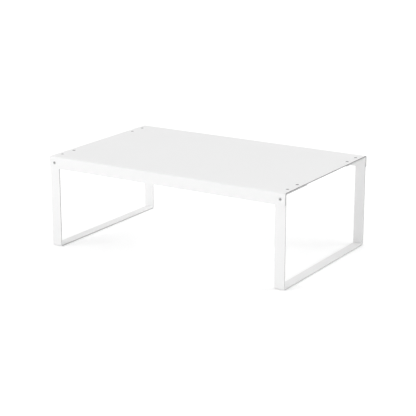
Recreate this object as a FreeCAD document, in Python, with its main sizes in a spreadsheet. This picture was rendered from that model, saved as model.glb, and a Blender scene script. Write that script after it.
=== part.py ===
import FreeCAD, Part
import os
import Sketcher

# A free-standing shelf riser: a sheet steel plate with two turned-down flanges, screwed onto two legs that
# are each bent from one flat steel strip. The origin is on the floor under the middle of the plate,
# with +X to the right, +Y to the back and +Z up.

# Driving dimensions, in millimetres and degrees.
sizes = {
    "plateWidth": 460,        # shelf plate, end to end
    "plateDepth": 290,        # over the two flanges
    "riserHeight": 160,       # floor to the plate's upper face
    "sheetThick": 1.5,
    "flangeHeight": 20.5,     # plate's upper face to the flange's lower edge
    "sheetBend": 3,           # outer radius of the flange bends
    "flangeCorner": 1.5,      # corner radius at the flanges' lower ends
    "stripWidth": 18.5,
    "stripThick": 2,
    "stripBend": 4,           # outer radius of the legs' bends
    "stripCorner": 3,         # corner radius at the strip's two free ends
    "legInset": 0.25,         # plate's end to the leg's side
    "returnReach": 75,        # plate's front or back to the end of the leg's top return
    "screwFromEdge": 23.5,    # plate's front or back to the first top screw
    "screwPitch": 32.5,       # first to second top screw
    "flangeScrewDrop": 11,    # plate's upper face to the flange screw
    "screwHole": 3.4,         # clearance hole in the sheet
    "sinkMouth": 6.2,         # countersink at the sheet's outer face
    "sinkAngle": 90,
    "headSink": 0.1,          # sheet's outer face down to the head of the countersunk screw
    "headDiameter": 5.6,
    "headRim": 0.2,
    "threadDiameter": 3,
    "screwLength": 6,
    "tipChamfer": 0.4,
    "recessSpan": 3,
    "recessWing": 0.8,
    "recessDepth": 1.3,
    "recessTaper": 12,
    "nutDiameter": 6.3,       # clinch nut, which sits on the strip's inner face
    "nutHeight": 1.5,
    "nutChamfer": 0.25,
    "nutShank": 4.2,          # its shank, pressed into the strip
    "nutShankLength": 1.8,
    "nutHole": 4.25,
    "nutBore": 3.1,
}

# Formulas that more than one sub-part uses.
legMiddle = "(dims.plateWidth / 2 - dims.legInset - dims.stripWidth / 2)"
outerScrew = "(dims.plateDepth / 2 - dims.screwFromEdge)"
innerScrew = "(dims.plateDepth / 2 - dims.screwFromEdge - dims.screwPitch)"
flangeScrew = "(dims.riserHeight - dims.flangeScrewDrop)"
legOutside = "(dims.plateDepth / 2 - dims.sheetThick)"
legInside = "(dims.plateDepth / 2 - dims.sheetThick - dims.stripThick)"
legTop = "(dims.riserHeight - dims.sheetThick)"
returnEnd = "(dims.plateDepth / 2 - dims.returnReach)"

doc = FreeCAD.newDocument("shelf_riser")
dims = doc.addObject("Spreadsheet::Sheet", "dims")
for row, (alias, value) in enumerate(sizes.items(), start=1):
    dims.set(f"A{row}", alias)
    dims.set(f"B{row}", str(value))
    dims.setAlias(f"B{row}", alias)
doc.recompute()


# ---- helpers

alongX = FreeCAD.Vector(1, 0, 0)
alongY = FreeCAD.Vector(0, 1, 0)
alongZ = FreeCAD.Vector(0, 0, 1)


def newBody(label):
    body = doc.addObject("PartDesign::Body", label)
    body.Label = label
    return body


def newSketch(body, name, role, lift=None):
    """A sketch on one of the body's origin planes, lifted along that plane's normal."""
    sketch = body.newObject("Sketcher::SketchObject", name)
    plane = next(item for item in body.Origin.OriginFeatures if item.Role == role)
    sketch.AttachmentSupport = [(plane, "")]
    sketch.MapMode = "FlatFace"
    if lift:
        sketch.setExpression("AttachmentOffset.Base.z", lift)
    return sketch


def bindConstraint(sketch, constraint, formula):
    index = sketch.addConstraint(constraint)
    sketch.setExpression(f"Constraints[{index}]", formula)


def pinPoint(sketch, geometry, end, across, up):
    """Hold one point of the sketch at signed distances from its origin."""
    bindConstraint(sketch, Sketcher.Constraint("DistanceX", -1, 1, geometry, end, 1), across)
    bindConstraint(sketch, Sketcher.Constraint("DistanceY", -1, 1, geometry, end, 1), up)


def drawOutline(sketch, corners):
    """A closed outline of straight lines through corners, each given as two formulas."""
    count = len(corners)
    start = [FreeCAD.Vector(10, 0, 0)]
    turn = FreeCAD.Rotation(alongZ, 360 / count)
    while len(start) < count:
        start.append(turn.multVec(start[-1]))
    for index in range(count):
        sketch.addGeometry(Part.LineSegment(start[index], start[(index + 1) % count]))
    for index in range(count):
        sketch.addConstraint(Sketcher.Constraint("Coincident", index, 2, (index + 1) % count, 1))
    for index, (across, up) in enumerate(corners):
        pinPoint(sketch, index, 1, across, up)


def drawCircles(sketch, centres, diameter):
    for across, up in centres:
        circle = Part.Circle(FreeCAD.Vector(0, 0, 0), alongZ, 1)
        index = sketch.addGeometry(circle)
        pinPoint(sketch, index, 3, across, up)
        bindConstraint(sketch, Sketcher.Constraint("Diameter", index, 2), diameter)


def addPad(body, name, sketch, length):
    """A pad that grows evenly to both sides of its sketch."""
    pad = body.newObject("PartDesign::Pad", name)
    pad.Profile = sketch
    pad.SideType = "Symmetric"
    pad.setExpression("Length", length)
    doc.recompute()
    return pad


def addTurned(body, name, sketch):
    """A full turn of a half profile about the sketch's upright axis."""
    turned = body.newObject("PartDesign::Revolution", name)
    turned.Profile = sketch
    turned.ReferenceAxis = (sketch, ["V_Axis"])
    turned.Angle = 360
    doc.recompute()
    return turned


def checkCut(feature):
    """A cut that points away from the solid would leave its volume as it was."""
    doc.recompute()
    if feature.Shape.Volume > feature.BaseFeature.Shape.Volume - 0.01:
        raise RuntimeError(f"{feature.Label} cuts nothing")
    return feature


def addPocket(body, name, sketch, depth):
    pocket = body.newObject("PartDesign::Pocket", name)
    pocket.Profile = sketch
    pocket.setExpression("Length", depth)
    return checkCut(pocket)


def addCountersinks(body, name, sketch):
    hole = body.newObject("PartDesign::Hole", name)
    hole.Profile = sketch
    doc.recompute()
    hole.ThreadType = "None"
    hole.setExpression("Diameter", "dims.screwHole")
    hole.HoleCutType = "Countersink"
    hole.HoleCutCustomValues = True
    hole.setExpression("HoleCutDiameter", "dims.sinkMouth")
    hole.setExpression("HoleCutCountersinkAngle", "dims.sinkAngle")
    hole.DepthType = "Dimension"
    hole.DrillPoint = "Flat"
    hole.setExpression("Depth", "dims.sheetThick * 2")
    return checkCut(hole)


def addFillet(body, name, base, radius, along, wanted):
    """Round every straight edge of base that runs in the given direction and starts at a wanted point."""
    names = []
    for index, edge in enumerate(base.Shape.Edges, start=1):
        ends = [vertex.Point for vertex in edge.Vertexes]
        if len(ends) == 2 and near((ends[1] - ends[0]).cross(along).Length, 0) and wanted(ends[0]):
            names.append(f"Edge{index}")
    fillet = body.newObject("PartDesign::Fillet", name)
    fillet.Base = (base, names)
    fillet.setExpression("Radius", radius)
    doc.recompute()
    return fillet


def near(first, second):
    return abs(first - second) < 0.001


# ---- shelf plate: a channel, open at both ends

def makeShelfPlate():
    body = newBody("shelf_plate")
    out = "dims.plateDepth / 2"
    top = "dims.riserHeight"
    low = "dims.riserHeight - dims.flangeHeight"
    section = newSketch(body, "plate_section", "YZ_Plane")
    drawOutline(section, [
        (f"-{out}", low), (f"-{legOutside}", low), (f"-{legOutside}", legTop), (legOutside, legTop),
        (legOutside, low), (out, low), (out, top), (f"-{out}", top)])
    pad = addPad(body, "plate_sheet", section, "dims.plateWidth")

    outY = dims.plateDepth / 2
    inY = outY - dims.sheetThick
    inZ = dims.riserHeight - dims.sheetThick
    lowZ = dims.riserHeight - dims.flangeHeight
    bends = addFillet(body, "plate_outer_bends", pad, "dims.sheetBend", alongX,
                      lambda point: near(abs(point.y), outY) and near(point.z, dims.riserHeight))
    bends = addFillet(body, "plate_inner_bends", bends, "dims.sheetBend - dims.sheetThick", alongX,
                      lambda point: near(abs(point.y), inY) and near(point.z, inZ))
    addFillet(body, "flange_corners", bends, "dims.flangeCorner", alongY,
              lambda point: near(point.z, lowZ) and near(abs(point.x), dims.plateWidth / 2))

    topSpots = [(f"{side} * {legMiddle}", f"{face} * {screw}")
                for side in (-1, 1) for face in (-1, 1) for screw in (outerScrew, innerScrew)]
    topSketch = newSketch(body, "top_hole_places", "XY_Plane", top)
    drawCircles(topSketch, topSpots, "dims.screwHole")
    addCountersinks(body, "top_countersinks", topSketch)
    flangeSketch = newSketch(body, "front_hole_places", "XZ_Plane", out)   # the back flange has no screws
    drawCircles(flangeSketch, [(f"{side} * {legMiddle}", flangeScrew) for side in (-1, 1)], "dims.screwHole")
    addCountersinks(body, "front_countersinks", flangeSketch)


# ---- leg: a strip bent into a frame, with a gap in the middle of its top

def makeLeg(label, side):
    body = newBody(label)
    section = newSketch(body, f"{label}_section", "YZ_Plane")
    underTop = f"{legTop} - dims.stripThick"
    drawOutline(section, [
        (f"-{returnEnd}", legTop), (f"-{legOutside}", legTop), (f"-{legOutside}", "0"), (legOutside, "0"),
        (legOutside, legTop), (returnEnd, legTop), (returnEnd, underTop), (legInside, underTop),
        (legInside, "dims.stripThick"), (f"-{legInside}", "dims.stripThick"), (f"-{legInside}", underTop),
        (f"-{returnEnd}", underTop)])
    pad = addPad(body, f"{label}_strip", section, "dims.stripWidth")

    outY = dims.plateDepth / 2 - dims.sheetThick
    endY = dims.plateDepth / 2 - dims.returnReach
    bends = addFillet(body, f"{label}_outer_bends", pad, "dims.stripBend", alongX,
                      lambda point: near(abs(point.y), outY))
    bends = addFillet(body, f"{label}_inner_bends", bends, "dims.stripBend - dims.stripThick", alongX,
                      lambda point: near(abs(point.y), outY - dims.stripThick))
    addFillet(body, f"{label}_end_corners", bends, "dims.stripCorner", alongZ,
              lambda point: near(abs(point.y), endY) and near(abs(point.x), dims.stripWidth / 2))

    topSpots = [("0", f"{face} * {screw}") for face in (-1, 1) for screw in (outerScrew, innerScrew)]
    topSketch = newSketch(body, f"{label}_top_places", "XY_Plane", legTop)
    drawCircles(topSketch, topSpots, "dims.nutHole")
    addPocket(body, f"{label}_top_nut_holes", topSketch, "dims.stripThick * 2")
    uprightSketch = newSketch(body, f"{label}_upright_place", "XZ_Plane", legOutside)   # front upright only
    drawCircles(uprightSketch, [("0", flangeScrew)], "dims.nutHole")
    addPocket(body, f"{label}_upright_nut_hole", uprightSketch, "dims.stripThick * 2")
    body.setExpression("Placement.Base.x", f"{side} * {legMiddle}")


# ---- fasteners: both are drawn about the screw's axis, with z = 0 on the sheet's outer face

def makeScrew(label):
    body = newBody(label)
    head = "dims.headDiameter / 2"
    core = "dims.threadDiameter / 2"
    face = "-dims.headSink"
    rim = "-dims.headSink - dims.headRim"
    tip = "-dims.headSink - dims.screwLength"
    neck = f"{rim} - ({head} - {core}) / tan(dims.sinkAngle * 0.5 deg)"
    section = newSketch(body, f"{label}_section", "XZ_Plane")
    drawOutline(section, [
        ("0", face), (head, face), (head, rim), (core, neck),
        (core, f"{tip} + dims.tipChamfer"), (f"{core} - dims.tipChamfer", tip), ("0", tip)])
    addTurned(body, f"{label}_turned", section)

    tipOff = "dims.recessSpan / 2"
    wing = "dims.recessWing / 2"
    recess = newSketch(body, f"{label}_recess", "XY_Plane", face)
    drawOutline(recess, [
        (tipOff, f"-{wing}"), (tipOff, wing), (wing, wing),
        (wing, tipOff), (f"-{wing}", tipOff), (f"-{wing}", wing),
        (f"-{tipOff}", wing), (f"-{tipOff}", f"-{wing}"), (f"-{wing}", f"-{wing}"),
        (f"-{wing}", f"-{tipOff}"), (wing, f"-{tipOff}"), (wing, f"-{wing}")])
    cross = addPocket(body, f"{label}_cross_recess", recess, "dims.recessDepth")
    cross.setExpression("TaperAngle", "-dims.recessTaper")
    checkCut(cross)
    return body


def makeNut(label):
    body = newBody(label)
    seat = "-dims.sheetThick - dims.stripThick"
    low = f"{seat} - dims.nutHeight"
    wide = "dims.nutDiameter / 2"
    section = newSketch(body, f"{label}_section", "XZ_Plane")
    drawOutline(section, [
        ("dims.nutBore / 2", low), (f"{wide} - dims.nutChamfer", low), (wide, f"{low} + dims.nutChamfer"),
        (wide, seat), ("dims.nutShank / 2", seat), ("dims.nutShank / 2", f"{seat} + dims.nutShankLength"),
        ("dims.nutBore / 2", f"{seat} + dims.nutShankLength")])
    addTurned(body, f"{label}_turned", section)
    return body


def placeFastener(body, across, along, up, tilt, turn):
    """Tilt the fastener's axis onto the face's normal and give its recess a turn of its own."""
    lean = FreeCAD.Rotation(alongX, tilt)
    spin = FreeCAD.Rotation(alongZ, turn)
    body.Placement = FreeCAD.Placement(FreeCAD.Vector(0, 0, 0), lean.multiply(spin))
    body.setExpression("Placement.Base.x", across)
    body.setExpression("Placement.Base.y", along)
    body.setExpression("Placement.Base.z", up)


makeShelfPlate()
makeLeg("left_leg", -1)
makeLeg("right_leg", 1)

turnStep = 37                 # degrees: driven screws stop with their recesses at odd angles
turn = 0
for face, faceWord in ((-1, "front"), (1, "back")):
    for side, sideWord in ((-1, "left"), (1, "right")):
        across = f"{side} * {legMiddle}"
        spots = [
            ("outer", f"{face} * {outerScrew}", "dims.riserHeight", 0),
            ("inner", f"{face} * {innerScrew}", "dims.riserHeight", 0),
        ]
        if faceWord == "front":
            spots.append(("flange", "-dims.plateDepth / 2", flangeScrew, 90))
        for spotWord, along, up, tilt in spots:
            corner = f"{faceWord}_{sideWord}_{spotWord}"
            placeFastener(makeScrew(f"{corner}_screw"), across, along, up, tilt, turn)
            placeFastener(makeNut(f"{corner}_nut"), across, along, up, tilt, turn)
            turn += turnStep
doc.recompute()


# ---- check everything, then write one STEP file for each sub-part

for item in doc.Objects:
    if "Invalid" in item.State or "Error" in item.State:
        raise RuntimeError(f"{item.Label} failed: {item.State}")
bodies = [item for item in doc.Objects if item.TypeId == "PartDesign::Body"]
for body in bodies:
    if body.Shape.isNull() or not body.Shape.isValid() or len(body.Shape.Solids) != 1:
        raise RuntimeError(f"{body.Label} is not one valid solid")

os.makedirs("parts", exist_ok=True)
for body in bodies:
    body.Shape.exportStep(f"parts/{body.Label}.step")
    box = body.Shape.BoundBox
    print(f"{body.Label}: {body.Shape.Volume:.1f} mm3, x {box.XMin:.2f} to {box.XMax:.2f}, "
          f"y {box.YMin:.2f} to {box.YMax:.2f}, z {box.ZMin:.2f} to {box.ZMax:.2f}")
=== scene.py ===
import math
import bmesh
import bpy
from mathutils import Matrix, Quaternion, Vector


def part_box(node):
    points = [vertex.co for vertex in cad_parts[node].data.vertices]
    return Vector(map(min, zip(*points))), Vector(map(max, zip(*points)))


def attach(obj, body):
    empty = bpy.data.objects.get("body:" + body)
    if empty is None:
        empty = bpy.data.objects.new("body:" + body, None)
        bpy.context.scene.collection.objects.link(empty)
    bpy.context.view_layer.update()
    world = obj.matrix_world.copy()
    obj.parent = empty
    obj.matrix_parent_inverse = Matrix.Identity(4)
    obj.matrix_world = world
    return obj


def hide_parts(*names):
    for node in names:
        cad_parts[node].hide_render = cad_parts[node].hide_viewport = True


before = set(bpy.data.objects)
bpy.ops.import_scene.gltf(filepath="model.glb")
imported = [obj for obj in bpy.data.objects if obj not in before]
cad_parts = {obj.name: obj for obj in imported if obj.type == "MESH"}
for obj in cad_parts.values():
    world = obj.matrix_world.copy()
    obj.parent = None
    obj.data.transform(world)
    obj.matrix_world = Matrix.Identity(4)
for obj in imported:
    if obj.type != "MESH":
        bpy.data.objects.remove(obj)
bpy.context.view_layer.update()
scene = bpy.context.scene
millimetre = 0.001
tiny = 0.01 * millimetre         # two places closer than this are the same
noiseRange = (0.3, 0.7)          # where nearly all of a noise texture's values lie
print("frame loaded:", len(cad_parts), "nodes")


def linearColour(hexText):
    # an sRGB hex value as linear red, green, blue and alpha
    channels = [int(hexText[i:i + 2], 16) / 255 for i in (1, 3, 5)]
    return [c / 12.92 if c <= 0.04045 else ((c + 0.055) / 1.055) ** 2.4 for c in channels] + [1.0]


def addNode(tree, kind, links=None, **settings):
    # one node, its settings, and for each input either a socket to link or a value
    node = tree.nodes.new(kind)
    for name, value in settings.items():
        setattr(node, name, value)
    for name, value in (links or {}).items():
        if isinstance(value, bpy.types.NodeSocket):
            tree.links.new(value, node.inputs[name])
        else:
            node.inputs[name].default_value = value
    return node


def newObject(name, mesh):
    piece = bpy.data.objects.new(name, mesh)
    scene.collection.objects.link(piece)
    return piece


def settle(piece):
    # turn the piece's modifiers into a plain mesh
    graph = bpy.context.evaluated_depsgraph_get()
    mesh = bpy.data.meshes.new_from_object(piece.evaluated_get(graph), depsgraph=graph)
    piece.modifiers.clear()
    piece.data = mesh
    mesh.name = piece.name
    return piece


def newTree(name, inputs):
    # an empty Geometry Nodes tree with its named inputs; returns the tree and its input node
    tree = bpy.data.node_groups.new(name, "GeometryNodeTree")
    tree.interface.new_socket("Geometry", in_out="INPUT", socket_type="NodeSocketGeometry")
    for label, kind in inputs.items():
        tree.interface.new_socket(label, in_out="INPUT", socket_type="NodeSocket" + kind)
    tree.interface.new_socket("Geometry", in_out="OUTPUT", socket_type="NodeSocketGeometry")
    return tree, addNode(tree, "NodeGroupInput")


def endTree(tree, geometry, material):
    real = addNode(tree, "GeometryNodeRealizeInstances", {"Geometry": geometry})
    painted = addNode(tree, "GeometryNodeSetMaterial", {"Geometry": real.outputs[0], "Material": material})
    addNode(tree, "NodeGroupOutput", {"Geometry": painted.outputs[0]})


def growTree(name, base, tree, values):
    # run a tree on a base mesh, with each input set by its identifier, and keep the plain mesh
    piece = newObject(name, base)
    modifier = piece.modifiers.new(tree.name, "NODES")
    modifier.node_group = tree
    for item in tree.interface.items_tree:
        if item.in_out == "INPUT" and item.name in values:
            modifier[item.identifier] = values[item.name]
    return settle(piece)


def newMaterial(name):
    material = bpy.data.materials.new(name)
    material.use_nodes = True
    material.node_tree.nodes.clear()
    return material, material.node_tree


def noise(tree, place, size, detail):
    # soft patches, with a given size in mm from one to the next
    return addNode(tree, "ShaderNodeTexNoise", {
        "Vector": place, "Scale": 1 / (size * millimetre), "Detail": detail}).outputs["Fac"]


def spread(tree, value, low, high):
    # a noise value stretched over low to high
    return addNode(tree, "ShaderNodeMapRange", {
        "Value": value, "From Min": noiseRange[0], "From Max": noiseRange[1],
        "To Min": low, "To Max": high}).outputs["Result"]


powderCoat = {
    "colour": "#EEEEEE",         # plain white, a shade under paper
    "paintedShadeColour": "#606060",     # painted shade: the grey mixed onto the X-facing ends and side edges in place of the shade they fall in
    "roughness": (0.39, 0.45),   # from the glossier patches to the duller ones
    "ior": 1.52,                 # cured polyester resin
    "peelSize": 2.4,             # mm, from one bump of the orange peel to the next
    "peelHeight": 0.012,         # mm
    "grainSize": 0.35,           # mm
    "grainHeight": 0.0025,       # mm
    "driftSize": 55,             # mm, from a glossier patch to a duller one
    "shadePatchSize": 1.6,            # mm, from one patch of the painted edge shade to the next
    # how far the painted edge shade strays, patch by patch
    "shadePatchRange": (0.85, 1.15),
}


def makePowderCoat(name):
    # white polyester powder coat, sprayed dry and melted on: satin, with a faint orange peel; a painted shade
    # darkens its X-facing end faces and side edges
    sizes = powderCoat
    material, tree = newMaterial(name)
    place = addNode(tree, "ShaderNodeTexCoord").outputs["Object"]
    grainBump = addNode(tree, "ShaderNodeBump", {
        "Height": noise(tree, place, sizes["grainSize"], 1.0),
        "Distance": sizes["grainHeight"] * millimetre})
    peelBump = addNode(tree, "ShaderNodeBump", {
        "Height": noise(tree, place, sizes["peelSize"], 2.0),
        "Distance": sizes["peelHeight"] * millimetre,
        "Normal": grainBump.outputs["Normal"]})
    gloss = spread(tree, noise(tree, place, sizes["driftSize"], 3.0), *sizes["roughness"])
    # painted shade: each face carries how much of it it gets, from 0 on the open faces to 1 on a sheared end
    shadeMask = addNode(tree, "ShaderNodeAttribute", attribute_name="thinCoat", attribute_type="GEOMETRY")
    shadeVariation = spread(tree, noise(tree, place, sizes["shadePatchSize"], 2.0), *sizes["shadePatchRange"])
    shadeAmount = addNode(tree, "ShaderNodeMath", {0: shadeMask.outputs["Fac"], 1: shadeVariation},
                     operation="MULTIPLY", use_clamp=True)
    mix = addNode(tree, "ShaderNodeMix", {   # inputs 6 and 7 are its two colours
        0: shadeAmount.outputs[0], 6: linearColour(sizes["colour"]), 7: linearColour(sizes["paintedShadeColour"])},
        data_type="RGBA")
    shader = addNode(tree, "ShaderNodeBsdfPrincipled", {
        "Base Color": mix.outputs[2], "IOR": sizes["ior"],
        "Roughness": gloss, "Normal": peelBump.outputs["Normal"]})
    addNode(tree, "ShaderNodeOutputMaterial", {"Surface": shader.outputs["BSDF"]})
    return material


zincPlate = {
    "colour": "#C4C5C5",
    "roughness": (0.15, 0.25),
    "cloudSize": 0.5,            # mm, from one duller cloud in the plating to the next
    "cloudHeight": 0.003,        # mm
}


def makeZincPlate(name):
    # bright zinc plating on steel: a pale grey metal, glossy, slightly clouded
    sizes = zincPlate
    material, tree = newMaterial(name)
    place = addNode(tree, "ShaderNodeTexCoord").outputs["Object"]
    cloud = noise(tree, place, sizes["cloudSize"], 3.0)
    gloss = spread(tree, cloud, *sizes["roughness"])
    bump = addNode(tree, "ShaderNodeBump", {
        "Height": cloud, "Distance": sizes["cloudHeight"] * millimetre})
    shader = addNode(tree, "ShaderNodeBsdfPrincipled", {
        "Base Color": linearColour(sizes["colour"]), "Metallic": 1.0,
        "Roughness": gloss, "Normal": bump.outputs["Normal"]})
    addNode(tree, "ShaderNodeOutputMaterial", {"Surface": shader.outputs["BSDF"]})
    return material


whitePowderCoat = makePowderCoat("white_powder_coat")
zincPlatedSteel = makeZincPlate("zinc_plated_steel")
print("materials made")


cameraSetup = {
    "azimuth": 31.73,            # degrees round from the front, towards the right
    "elevation": 15.91,
    "roll": 0.05,
    "distance": 2.357,           # m, to the aim point
    "aim": (0.0015, -0.0032, 0.0678),
    "lens": 117.74,              # mm
    "sensor": 36,                # mm
    "sight": 400,                # m, past the floor's far edge
}


def makeCamera():
    setup = cameraSetup
    around = math.radians(setup["azimuth"])
    above = math.radians(setup["elevation"])
    back = Vector((
        math.sin(around) * math.cos(above), -math.cos(around) * math.cos(above), math.sin(above)))
    camera = bpy.data.objects.new("camera", bpy.data.cameras.new("camera"))
    scene.collection.objects.link(camera)
    camera.location = Vector(setup["aim"]) + back * setup["distance"]
    turned = back.to_track_quat("Z", "Y") @ Quaternion((0, 0, 1), math.radians(setup["roll"]))
    camera.rotation_mode = "QUATERNION"
    camera.rotation_quaternion = turned
    camera.data.lens = setup["lens"]
    camera.data.sensor_width = setup["sensor"]
    camera.data.clip_end = setup["sight"]
    scene.camera = camera


studio = {
    "floorSize": 60.0,           # m
    "floorDrop": 0.2 * millimetre,       # just under the legs, so that the faces don't fight
    "floorColour": "#F4F4F4",
    "floorRoughness": 0.9,
    "floorGlow": 0.155,          # the floor is a lit white table
    "farGlow": 0.9,              # past the lamps' reach, so that it stays white
    "farStart": 1.2,             # m from the middle
    "farEnd": 4.0,
    "worldStrength": 0.435,
    "backdropRadius": 12.0,      # m
}
lamps = {
    # name: place, aim, width, height, watts
    "frontLeftSoftbox": ((-2.2, -3.0, 2.2), (0, 0, 0.1), 2.4, 2.0, 58),
    "frontStripbox": ((0.0, -4.0, 0.9), (0, 0, 0.1), 3.0, 1.4, 13),
    "topSoftbox": ((0.0, 0.0, 3.4), (0, 0, 0.1), 3.0, 3.0, 30),
    "topBackSoftbox": ((-0.6, 2.6, 2.6), (0, 0, 0.1), 3.0, 2.0, 14),
    "rightBackSoftbox": ((3.4, 1.5, 1.4), (0, 0, 0.1), 2.4, 2.0, 64),
    "leftBackSoftbox": ((-3.4, 1.2, 1.2), (0, 0, 0.1), 2.4, 2.0, 29),
}


def makeFloor():
    half = studio["floorSize"] / 2
    mesh = bpy.data.meshes.new("floor")
    corners = [(-half, -half, 0), (half, -half, 0), (half, half, 0), (-half, half, 0)]
    mesh.from_pydata(corners, [], [(0, 1, 2, 3)])
    floor = newObject("floor", mesh)
    floor.location.z = -studio["floorDrop"]
    material, tree = newMaterial("lit_white_table")
    place = addNode(tree, "ShaderNodeTexCoord").outputs["Object"]
    away = addNode(tree, "ShaderNodeVectorMath", {0: place}, operation="LENGTH")
    glow = addNode(tree, "ShaderNodeMapRange", {
        "Value": away.outputs["Value"],
        "From Min": studio["farStart"], "From Max": studio["farEnd"],
        "To Min": studio["floorGlow"], "To Max": studio["farGlow"]})
    shader = addNode(tree, "ShaderNodeBsdfPrincipled", {
        "Base Color": linearColour(studio["floorColour"]),
        "Roughness": studio["floorRoughness"], "Specular IOR Level": 0.0,
        "Emission Color": (1, 1, 1, 1), "Emission Strength": glow.outputs["Result"]})
    addNode(tree, "ShaderNodeOutputMaterial", {"Surface": shader.outputs["BSDF"]})
    mesh.materials.append(material)


def makeBackdrop():
    # a white wall all round, far off, seen by the camera only
    mesh = bmesh.new()
    bmesh.ops.create_uvsphere(mesh, u_segments=48, v_segments=24, radius=studio["backdropRadius"])
    data = bpy.data.meshes.new("backdrop")
    mesh.to_mesh(data)
    mesh.free()
    backdrop = newObject("backdrop", data)
    for ray in ("diffuse", "glossy", "transmission", "shadow"):
        setattr(backdrop, "visible_" + ray, False)
    material, tree = newMaterial("white_backdrop")
    glow = addNode(tree, "ShaderNodeEmission", {"Color": (1, 1, 1, 1), "Strength": 1.0})
    addNode(tree, "ShaderNodeOutputMaterial", {"Surface": glow.outputs[0]})
    data.materials.append(material)


def makeLights():
    world = bpy.data.worlds.new("studio")
    world.use_nodes = True
    sky = world.node_tree.nodes["Background"]
    sky.inputs["Color"].default_value = (1, 1, 1, 1)
    sky.inputs["Strength"].default_value = studio["worldStrength"]
    scene.world = world
    for name, (place, aim, width, height, watts) in lamps.items():
        data = bpy.data.lights.new(name, "AREA")
        data.shape = "RECTANGLE"
        data.size = width
        data.size_y = height
        data.energy = watts
        lamp = bpy.data.objects.new(name, data)
        scene.collection.objects.link(lamp)
        lamp.location = place
        lamp.rotation_mode = "QUATERNION"
        lamp.rotation_quaternion = (Vector(place) - Vector(aim)).to_track_quat("Z", "Y")
        lamp.visible_camera = False
    scene.view_settings.view_transform = "Standard"


makeCamera()
makeFloor()
makeBackdrop()
makeLights()
print("camera, floor and lights made")


def makeBendTree():
    # a flat section swept along a path whose corners are bent to a radius
    tree, given = newTree("bend_flat_stock", {
        "Stock Width": "Float", "Stock Thickness": "Float", "Bend Radius": "Float", "Bend Steps": "Int",
        "Material": "Material"})
    path = addNode(tree, "GeometryNodeMeshToCurve", {"Mesh": given.outputs["Geometry"]})
    bent = addNode(tree, "GeometryNodeFilletCurve", {
        "Curve": path.outputs[0], "Radius": given.outputs["Bend Radius"],
        "Count": given.outputs["Bend Steps"]}, mode="POLY")
    level = addNode(tree, "GeometryNodeSetCurveNormal", {
        "Curve": bent.outputs[0], "Normal": (1, 0, 0)}, mode="FREE")
    section = addNode(tree, "GeometryNodeCurvePrimitiveQuadrilateral", {
        "Width": given.outputs["Stock Width"], "Height": given.outputs["Stock Thickness"]})
    swept = addNode(tree, "GeometryNodeCurveToMesh", {
        "Curve": level.outputs[0], "Profile Curve": section.outputs[0], "Fill Caps": True})
    endTree(tree, swept.outputs[0], given.outputs["Material"])
    return tree


bendTree = makeBendTree()


def pathMesh(name, corners):
    mesh = bpy.data.meshes.new(name)
    mesh.from_pydata(corners, [(i, i + 1) for i in range(len(corners) - 1)], [])
    return mesh


rounding = {
    "cornerSegments": 6,
    "edgeSegments": 3,
    "sharpest": math.radians(30),        # edges that turn less than this are left alone
    "profile": 0.5,                      # a quarter circle
}


def isSame(a, b):
    return abs(a - b) < tiny


def roundCorners(piece, radius, wanted):
    # round the short edges across the stock's thickness whose both ends are wanted
    mesh = bmesh.new()
    mesh.from_mesh(piece.data)
    bmesh.ops.remove_doubles(mesh, verts=mesh.verts, dist=tiny / 10)
    edges = [e for e in mesh.edges
             if all(wanted(v.co) for v in e.verts) and isSame(e.verts[0].co.x, e.verts[1].co.x)]
    bmesh.ops.bevel(mesh, geom=edges, offset=radius, segments=rounding["cornerSegments"],
                    profile=rounding["profile"], affect="EDGES")
    bmesh.ops.recalc_face_normals(mesh, faces=mesh.faces)
    mesh.to_mesh(piece.data)
    mesh.free()


def ringSolid(name, rings, looped=False):
    # a closed solid about Z through rings of (radius, height) points, each ring below the one before;
    # looped joins the last ring to the first, for a solid with a bore
    mesh = bmesh.new()
    steps = len(rings[0])
    turns = [2 * math.pi * i / steps for i in range(steps)]
    grid = [[mesh.verts.new((r * math.cos(a), r * math.sin(a), z)) for a, (r, z) in zip(turns, ring)]
            for ring in rings]
    for upper, lower in zip(grid, grid[1:] + (grid[:1] if looped else [])):
        for i in range(steps):
            j = (i + 1) % steps
            mesh.faces.new((upper[i], lower[i], lower[j], upper[j]))
    if not looped:
        mesh.faces.new(grid[0])
        mesh.faces.new(list(reversed(grid[-1])))
    bmesh.ops.recalc_face_normals(mesh, faces=mesh.faces)
    data = bpy.data.meshes.new(name)
    mesh.to_mesh(data)
    mesh.free()
    return data


def lathe(name, profile, steps, looped=False):
    return ringSolid(name, [[point] * steps for point in profile], looped)


def softenEdges(piece, radius):
    # the coat rounds every edge a little
    bevel = piece.modifiers.new("coated edges", "BEVEL")
    bevel.width = radius
    bevel.segments = rounding["edgeSegments"]
    bevel.limit_method = "ANGLE"
    bevel.angle_limit = rounding["sharpest"]
    bevel.use_clamp_overlap = False
    settle(piece)


def cutAway(piece, cutter, spots):
    # cut one copy of the cutter at each fastener's place
    mesh = bmesh.new()
    for spot in spots:
        copy = cutter.copy()
        copy.transform(spot)
        mesh.from_mesh(copy)
        bpy.data.meshes.remove(copy)
    cuts = bpy.data.meshes.new(piece.name + "_cuts")
    mesh.to_mesh(cuts)
    mesh.free()
    tool = newObject(cuts.name, cuts)
    modifier = piece.modifiers.new("cuts", "BOOLEAN")
    modifier.operation = "DIFFERENCE"
    modifier.solver = "EXACT"
    modifier.object = tool
    settle(piece)
    bpy.data.objects.remove(tool)


def finishSurface(piece, edgeShade):
    # keep flat faces flat under smooth shading, and note how much painted shade each face gets
    for face in piece.data.polygons:
        face.use_smooth = True
    normals = piece.modifiers.new("flat faces", "WEIGHTED_NORMAL")
    normals.keep_sharp = False
    settle(piece)
    shadeMask = piece.data.attributes.new("thinCoat", "FLOAT", "FACE")
    shadeMask.data.foreach_set("value", [edgeShade(face) for face in piece.data.polygons])


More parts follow.
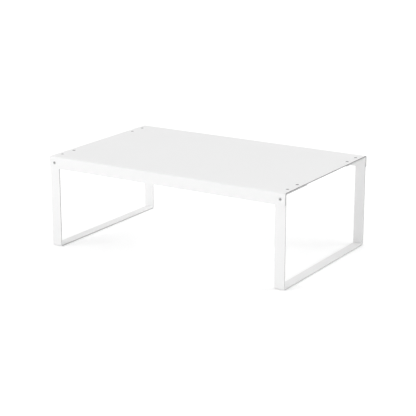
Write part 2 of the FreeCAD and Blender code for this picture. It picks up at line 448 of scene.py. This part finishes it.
hardware = {
    "sheetThickness": 1.5 * millimetre,
    "stripThickness": 2.0 * millimetre,
    "turnStep": 37,              # degrees from one screw's recess to the next
    "creaseAngle": math.radians(28),
}
edgeFacing = 0.35                # a face whose normal leans this far along X belongs to an end or a side edge
plateLow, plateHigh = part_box("shelf_plate")


def fastenerPlaces():
    # each screw: its origin on the sheet's outer face, its axis outwards, and the turn of its recess
    places = {}
    for depthWord, depthSide in (("front", -1), ("back", 1)):
        for sideWord in ("left", "right"):
            for spotWord in ("outer", "inner", "flange"):
                name = f"{depthWord}_{sideWord}_{spotWord}_screw"
                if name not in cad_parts:   # the back flange has no screws
                    continue
                low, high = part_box(name)
                origin = (low + high) / 2
                if spotWord == "flange":
                    out = Vector((0, depthSide, 0))
                    origin.y = depthSide * plateHigh.y
                else:
                    out = Vector((0, 0, 1))
                    origin.z = plateHigh.z
                places[name] = (origin, out, math.radians(hardware["turnStep"] * len(places)))
    return places


places = fastenerPlaces()


def spotMatrix(place):
    middle, out, turn = place
    turned = out.to_track_quat("Z", "Y") @ Quaternion((0, 0, 1), turn)
    return Matrix.Translation(middle) @ turned.to_matrix().to_4x4()


plate = {
    "bendRadius": 3.0 * millimetre,      # outside
    "bendSteps": 10,
    "cornerRadius": 1.5 * millimetre,
    "sinkRadius": 3.1 * millimetre,      # at the mouth of each 90 degree countersink
    "holeRadius": 1.7 * millimetre,
    "rimRadius": 0.25 * millimetre,      # where the coat rolls over the countersink's mouth
    "edgeRadius": 0.2 * millimetre,
    "rimTurns": [96, 109, 122, 135],     # degrees, round the rolled rim from the flat face to the cone
    "cutDepth": 1.8 * millimetre,        # the cutter comes out on the far side
    "cutSteps": 48,
}


def sinkMesh():
    # a cutter for one 90 degree countersunk hole, with the rolled rim in its own outline
    mouth, hole, rim = plate["sinkRadius"], plate["holeRadius"], plate["rimRadius"]
    centre = mouth + rim * math.tan(math.radians(90 / 4))
    outline = [(centre + rim * math.cos(a), rim * math.sin(a) - rim)
               for a in map(math.radians, plate["rimTurns"])]
    outline.insert(0, (outline[0][0], rim))
    outline += [(hole, hole - mouth), (hole, -plate["cutDepth"])]
    return lathe("countersink", outline, plate["cutSteps"])


def plateEndShade(face):
    # painted shade on the two sheared ends, which face along X
    atEnd = abs(face.center.x) > plateHigh.x - 2 * plate["cornerRadius"]
    return 1.0 if atEnd and abs(face.normal.x) > edgeFacing else 0.0


def makePlate():
    half = hardware["sheetThickness"] / 2
    y = plateHigh.y - half
    z = plateHigh.z - half
    path = pathMesh("plate_path", [(0, -y, plateLow.z), (0, -y, z), (0, y, z), (0, y, plateLow.z)])
    panel = growTree("shelf_panel", path, bendTree, {
        "Stock Width": plateHigh.x - plateLow.x, "Stock Thickness": hardware["sheetThickness"],
        "Bend Radius": plate["bendRadius"] - half, "Bend Steps": plate["bendSteps"],
        "Material": whitePowderCoat})
    roundCorners(panel, plate["cornerRadius"], lambda p: isSame(p.z, plateLow.z))
    softenEdges(panel, plate["edgeRadius"])
    cutAway(panel, sinkMesh(), [spotMatrix(p) for p in places.values()])
    finishSurface(panel, plateEndShade)
    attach(panel, "root")
    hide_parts("shelf_plate")
    print("shelf plate:", len(panel.data.polygons), "faces")


makePlate()


leg = {
    "bendRadius": 4.0 * millimetre,      # outside
    "bendSteps": 10,
    "returnReach": 73.5 * millimetre,    # from the leg's front or back face to the end of its top return
    "cornerRadius": 3.0 * millimetre,
    "nutHole": 2.125 * millimetre,       # radius
    "drillStart": -0.75 * millimetre,    # from the sheet's outer face, along the screw
    "drillEnd": -4.5 * millimetre,
    "drillSteps": 32,
    "edgeRadius": 0.3 * millimetre,
    "sideEdgeShade": 0.5,                 # painted shade on the strip's side edges, half the amount on a sheared end
}


def makeLeg(side):
    low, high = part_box(side + "_leg")
    half = hardware["stripThickness"] / 2
    x = (low.x + high.x) / 2
    y = high.y - half
    end = high.y - leg["returnReach"]
    top = high.z - half
    path = pathMesh(side + "_leg_path", [
        (x, -end, top), (x, -y, top), (x, -y, half), (x, y, half), (x, y, top), (x, end, top)])
    strip = growTree(side + "_leg_strip", path, bendTree, {
        "Stock Width": high.x - low.x, "Stock Thickness": hardware["stripThickness"],
        "Bend Radius": leg["bendRadius"] - half, "Bend Steps": leg["bendSteps"],
        "Material": whitePowderCoat})
    roundCorners(strip, leg["cornerRadius"], lambda p: isSame(abs(p.y), end))
    softenEdges(strip, leg["edgeRadius"])
    drill = lathe("nut_hole", [(leg["nutHole"], leg["drillStart"]), (leg["nutHole"], leg["drillEnd"])],
                  leg["drillSteps"])
    cutAway(strip, drill, [spotMatrix(p) for name, p in places.items() if side in name])
    # painted shade on the strip's X-facing side edges
    finishSurface(strip, lambda face: leg["sideEdgeShade"] if abs(face.normal.x) > edgeFacing else 0.0)
    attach(strip, "root")
    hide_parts(side + "_leg")
    print(side, "leg:", len(strip.data.polygons), "faces")


makeLeg("left")
makeLeg("right")


screw = {
    "headSink": 0.1 * millimetre,
    "headRadius": 2.8 * millimetre,
    "headRim": 0.2 * millimetre,
    "headSoftness": 0.08 * millimetre,   # where the head's face turns into its rim
    "threadRadius": 1.5 * millimetre,
    "threadDepth": 0.3 * millimetre,
    "undercut": 0.1 * millimetre,        # below the head, and again at the tip
    "pitch": 0.5 * millimetre,
    "rowsPerPitch": 5,
    "length": 6.0 * millimetre,
    "recessReach": 1.5 * millimetre,     # centre to the end of each wing
    "recessWing": 0.42 * millimetre,     # half a wing's width at the mouth
    "recessDepth": 1.35 * millimetre,
    "recessOver": 0.2 * millimetre,      # the cutter stands this far out of the sheet
    "recessTaper": (1.08, 0.45),         # its scale at the top and at the bottom
    "steps": 40,
}
nut = {
    "bodyRadius": 3.15 * millimetre,
    "bodyHeight": 1.5 * millimetre,
    "shankRadius": 2.1 * millimetre,
    "shankLength": 1.8 * millimetre,
    "boreRadius": 1.55 * millimetre,
    "chamfer": 0.25 * millimetre,
    "chamferMiddle": 0.3,                # of the chamfer, so that the corner looks round
    "steps": 48,
}


def screwMesh():
    # head turned, shank with a true helical thread
    face = -screw["headSink"]
    headRadius = screw["headRadius"]
    soft = screw["headSoftness"]
    neck = face - screw["headRim"] - (headRadius - screw["threadRadius"])
    tip = face - screw["length"]
    stepsRound = screw["steps"]
    perPitch = screw["rowsPerPitch"]
    rings = [[(r, z)] * stepsRound for r, z in (
        (headRadius - 3 * soft, face), (headRadius - soft, face - soft / 4), (headRadius, face - soft),
        (headRadius, face - screw["headRim"]), (screw["threadRadius"] - screw["undercut"], neck))]
    rowStep = screw["pitch"] / perPitch
    rows = int((neck - tip) / rowStep)
    for row in range(1, rows):
        z = neck - row * rowStep
        fade = min(1, (row - 1) / perPitch, (rows - row) / perPitch)
        ring = []
        for i in range(stepsRound):
            phase = (z / screw["pitch"] + i / stepsRound) % 1
            ridge = 1 - abs(2 * phase - 1)   # 0 in the root, 1 on the crest
            ring.append((screw["threadRadius"] - screw["threadDepth"] * (1 - ridge * fade), z))
        rings.append(ring)
    tipRadius = screw["threadRadius"] - screw["threadDepth"] - screw["undercut"]
    rings.append([(tipRadius, tip)] * stepsRound)
    return ringSolid("screw_blank", rings)


def recessMesh():
    # a cross that narrows towards its bottom
    mesh = bmesh.new()
    levels = []
    heights = (screw["recessOver"], -screw["headSink"] - screw["recessDepth"])
    for height, scale in zip(heights, screw["recessTaper"]):
        reach = screw["recessReach"] * scale
        wing = screw["recessWing"] * scale
        outline = [(reach, -wing), (reach, wing), (wing, wing)]
        ring = []
        for quarter in range(4):
            spin = Matrix.Rotation(math.pi / 2 * quarter, 2)
            ring += [mesh.verts.new((*(spin @ Vector(corner)), height)) for corner in outline]
        levels.append(ring)
    count = len(levels[0])
    for i in range(count):
        j = (i + 1) % count
        mesh.faces.new((levels[0][i], levels[1][i], levels[1][j], levels[0][j]))
    mesh.faces.new(levels[0])
    mesh.faces.new(list(reversed(levels[1])))
    bmesh.ops.recalc_face_normals(mesh, faces=mesh.faces)
    data = bpy.data.meshes.new("cross_recess")
    mesh.to_mesh(data)
    mesh.free()
    return data


def makeScrew():
    blank = newObject("screw_pattern", screwMesh())
    cutAway(blank, recessMesh(), [Matrix.Identity(4)])
    blank.data.set_sharp_from_angle(angle=hardware["creaseAngle"])
    return blank


def makeNut():
    # round body on the strip's inner face, shank in the strip, open bore
    seat = -hardware["sheetThickness"] - hardware["stripThickness"]
    low = seat - nut["bodyHeight"]
    high = seat + nut["shankLength"]
    chamfer = nut["chamfer"]
    middle = chamfer * nut["chamferMiddle"]
    bore, body, shank = nut["boreRadius"], nut["bodyRadius"], nut["shankRadius"]
    outline = [
        (bore, high), (shank, high), (shank, seat), (body, seat),
        (body, low + chamfer), (body - middle, low + middle),
        (body - chamfer, low), (bore + chamfer, low), (bore, low + chamfer)]
    data = lathe("nut_pattern", outline, nut["steps"], looped=True)
    for face in data.polygons:
        face.use_smooth = True
    data.set_sharp_from_angle(angle=hardware["creaseAngle"])
    return newObject("nut_pattern", data)


def makeFastenTree():
    # one pattern piece set on every point, its Z along the point's axis and turned by its own angle
    tree, given = newTree("set_fasteners", {"Pattern": "Object", "Material": "Material"})
    pattern = addNode(tree, "GeometryNodeObjectInfo", {"Object": given.outputs["Pattern"]})
    axis = addNode(tree, "GeometryNodeInputNamedAttribute", {"Name": "outward"}, data_type="FLOAT_VECTOR")
    angle = addNode(tree, "GeometryNodeInputNamedAttribute", {"Name": "turn"}, data_type="FLOAT")
    lean = addNode(tree, "FunctionNodeAlignRotationToVector", {"Vector": axis.outputs["Attribute"]}, axis="Z")
    spin = addNode(tree, "FunctionNodeAxisAngleToRotation", {
        "Axis": (0, 0, 1), "Angle": angle.outputs["Attribute"]})
    both = addNode(tree, "FunctionNodeRotateRotation", {
        "Rotation": lean.outputs[0], "Rotate By": spin.outputs[0]}, rotation_space="LOCAL")
    setOut = addNode(tree, "GeometryNodeInstanceOnPoints", {
        "Points": given.outputs["Geometry"], "Instance": pattern.outputs["Geometry"],
        "Rotation": both.outputs[0]})
    endTree(tree, setOut.outputs[0], given.outputs["Material"])
    return tree


fastenTree = makeFastenTree()


def setFasteners(name, pattern, material, ending):
    base = bpy.data.meshes.new(name + "_places")
    base.from_pydata([p[0] for p in places.values()], [], [])
    outward = base.attributes.new("outward", "FLOAT_VECTOR", "POINT")
    outward.data.foreach_set("vector", [c for p in places.values() for c in p[1]])
    turns = base.attributes.new("turn", "FLOAT", "POINT")
    turns.data.foreach_set("value", [p[2] for p in places.values()])
    group = growTree(name, base, fastenTree, {"Pattern": pattern, "Material": material})
    bpy.data.objects.remove(pattern)
    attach(group, "root")
    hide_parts(*[node.replace("_screw", ending) for node in places])
    print(name + ":", len(group.data.polygons), "faces")


setFasteners("screws", makeScrew(), zincPlatedSteel, "_screw")
setFasteners("clinch_nuts", makeNut(), whitePowderCoat, "_nut")
